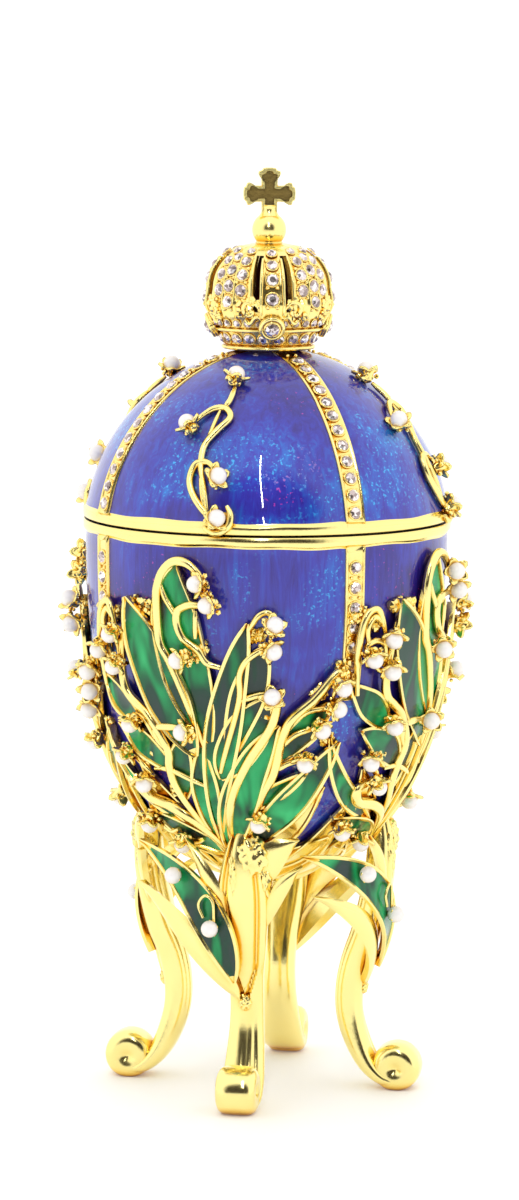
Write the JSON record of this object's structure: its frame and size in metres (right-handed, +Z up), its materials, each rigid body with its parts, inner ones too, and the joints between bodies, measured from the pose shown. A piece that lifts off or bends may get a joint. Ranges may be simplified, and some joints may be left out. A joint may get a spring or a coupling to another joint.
{
  "type": "jewelled egg trinket box",
  "caption": "Upright enamelled egg box with a lift-off lid, a small crown with a cross on top, gold leaf and flower sprays round its lower half, and curled legs.",
  "frame": {"origin": "on the table under the egg's middle", "axes": "+Z up, -Y towards the front leg"},
  "size_m": [0.0582, 0.0582, 0.1303],
  "materials": {
    "blue_enamel": "glossy translucent enamel",
    "gold": "polished gold plate, with green enamel in the leaves",
    "pearl": "pearly"
  },
  "bodies": {
    "root": {"bowl": "blue_enamel", "lid": "blue_enamel", "crown": "gold", "leg_and_spray_front": "gold", "leg_and_spray_right": "gold", "leg_and_spray_back": "gold", "leg_and_spray_left": "gold", "lid_pearl_front_1": "pearl", "lid_pearl_front_2": "pearl", "lid_pearl_front_3": "pearl", "lid_pearl_front_4": "pearl", "lid_pearl_right_1": "pearl", "lid_pearl_right_2": "pearl", "lid_pearl_right_3": "pearl", "lid_pearl_right_4": "pearl", "lid_pearl_back_1": "pearl", "lid_pearl_back_2": "pearl", "lid_pearl_back_3": "pearl", "lid_pearl_back_4": "pearl", "lid_pearl_left_1": "pearl", "lid_pearl_left_2": "pearl", "lid_pearl_left_3": "pearl", "lid_pearl_left_4": "pearl", "pearl_front_1": "pearl", "pearl_front_2": "pearl", "pearl_front_3": "pearl", "pearl_front_4": "pearl", "pearl_front_5": "pearl", "pearl_front_6": "pearl", "pearl_front_7": "pearl", "pearl_front_8": "pearl", "pearl_front_9": "pearl", "pearl_right_1": "pearl", "pearl_right_2": "pearl", "pearl_right_3": "pearl", "pearl_right_4": "pearl", "pearl_right_5": "pearl", "pearl_right_6": "pearl", "pearl_right_7": "pearl", "pearl_right_8": "pearl", "pearl_right_9": "pearl", "pearl_back_1": "pearl", "pearl_back_2": "pearl", "pearl_back_3": "pearl", "pearl_back_4": "pearl", "pearl_back_5": "pearl", "pearl_back_6": "pearl", "pearl_back_7": "pearl", "pearl_back_8": "pearl", "pearl_back_9": "pearl", "pearl_left_1": "pearl", "pearl_left_2": "pearl", "pearl_left_3": "pearl", "pearl_left_4": "pearl", "pearl_left_5": "pearl", "pearl_left_6": "pearl", "pearl_left_7": "pearl", "pearl_left_8": "pearl", "pearl_left_9": "pearl"}
  },
  "joints": []
}
